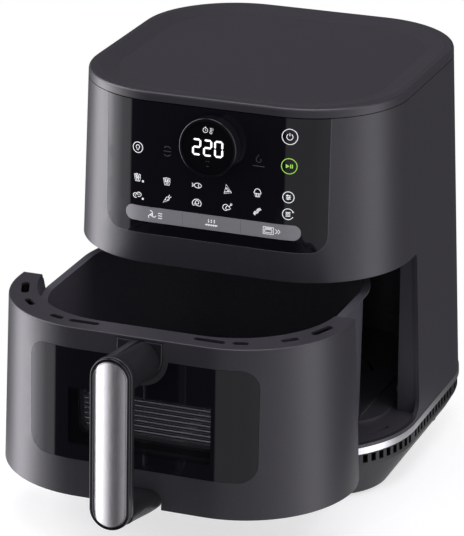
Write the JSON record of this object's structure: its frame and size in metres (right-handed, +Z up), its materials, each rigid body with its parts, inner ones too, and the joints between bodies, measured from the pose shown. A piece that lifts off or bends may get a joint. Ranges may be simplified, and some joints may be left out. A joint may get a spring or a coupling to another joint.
{
  "type": "air fryer",
  "caption": "Drawer air fryer with a tapered rounded body, windowed drawer on a bridge handle, removable crisper plate, curved touch panel and turning dial.",
  "frame": {"origin": "on the floor the feet stand on, under the middle of the body; the drawer is stored 150 mm open", "axes": "+Z up; the front with the drawer and its handle faces -Y; +X is to the right of someone facing the front"},
  "size_m": [0.298, 0.5073, 0.3344],
  "materials": {
    "charcoal_plastic": "satin, fine speckle",
    "black_gloss": "gloss",
    "black_plastic": "satin",
    "smoked_window": "gloss",
    "display_window": "gloss",
    "clear_glass": "clear",
    "bright_trim": "bright",
    "silver_strip": "satin",
    "brushed_insert": "brushed along its length",
    "nonstick_coating": "satin",
    "liner_plastic": "satin",
    "liner_steel": "satin",
    "sheet_steel": "plain",
    "element_steel": "oxidised",
    "screw_steel": "plain",
    "motor_steel": "plain",
    "circuit_board": "satin",
    "board_components": "matt",
    "copper_windings": "lacquered",
    "ceramic_white": "matt",
    "rubber_black": "matt"
  },
  "bodies": {
    "body": {"body_shell": "charcoal_plastic", "top_cap": "charcoal_plastic", "trim_ring": "bright_trim", "vent_band": "black_plastic", "base_pan": "charcoal_plastic", "feet": "rubber_black", "base_screws": "screw_steel", "cavity_liner": "liner_plastic", "drawer_guides": "liner_steel", "control_panel": "black_gloss", "mode_strip": "silver_strip", "display_lens": "display_window", "rotary_encoder": "black_plastic", "control_board": "circuit_board", "board_parts": "board_components", "power_board": "circuit_board", "power_parts": "copper_windings", "heater_housing": "sheet_steel", "heating_element": "element_steel", "element_collars": "ceramic_white", "element_guard": "sheet_steel", "heat_shield": "sheet_steel", "motor_bracket": "sheet_steel", "motor": "motor_steel", "temperature_probe": "screw_steel", "thermal_cutout": "black_plastic", "lamp": "clear_glass", "lamp_cover": "clear_glass", "rear_grille": "charcoal_plastic", "cord_gland": "black_plastic", "terminal_block": "ceramic_white", "drawer_sensor": "black_plastic"},
    "drawer": {"drawer_shell": "charcoal_plastic", "drawer_rim": "charcoal_plastic", "drawer_frame": "charcoal_plastic", "drawer_screws": "screw_steel", "outer_window": "smoked_window", "pan": "nonstick_coating", "inner_window": "clear_glass", "window_frame": "black_plastic", "handle_grip": "charcoal_plastic", "handle_plate": "sheet_steel", "handle_screws": "screw_steel", "handle_bezel": "black_gloss", "handle_insert": "brushed_insert", "drawer_magnet": "screw_steel"},
    "plate": {"crisper_plate": "nonstick_coating", "plate_pads": "rubber_black"},
    "dial": {"dial_ring": "black_gloss", "dial_hub": "black_plastic"},
    "rotor": {"motor_shaft": "motor_steel", "convection_fan": "sheet_steel", "fan_nut": "screw_steel", "cooling_fan": "black_plastic"}
  },
  "joints": [
    {"name": "drawer_slide", "type": "slide", "parent": "body", "child": "drawer", "axis": [0, -1, 0], "range_m": [-0.15, 0.125]},
    {"name": "plate_lift", "type": "slide", "parent": "drawer", "child": "plate", "axis": [0, 0, 1], "range_m": [0, 0.112]},
    {"name": "dial_turn", "type": "hinge", "parent": "body", "child": "dial", "pos_m": [0, -0.13793, 0.2973], "axis": [0, -0.9992, 0.0406], "continuous": true},
    {"name": "fan_spin", "type": "hinge", "parent": "body", "child": "rotor", "pos_m": [0, -0.0025, 0.25], "axis": [0, 0, 1], "continuous": true}
  ]
}
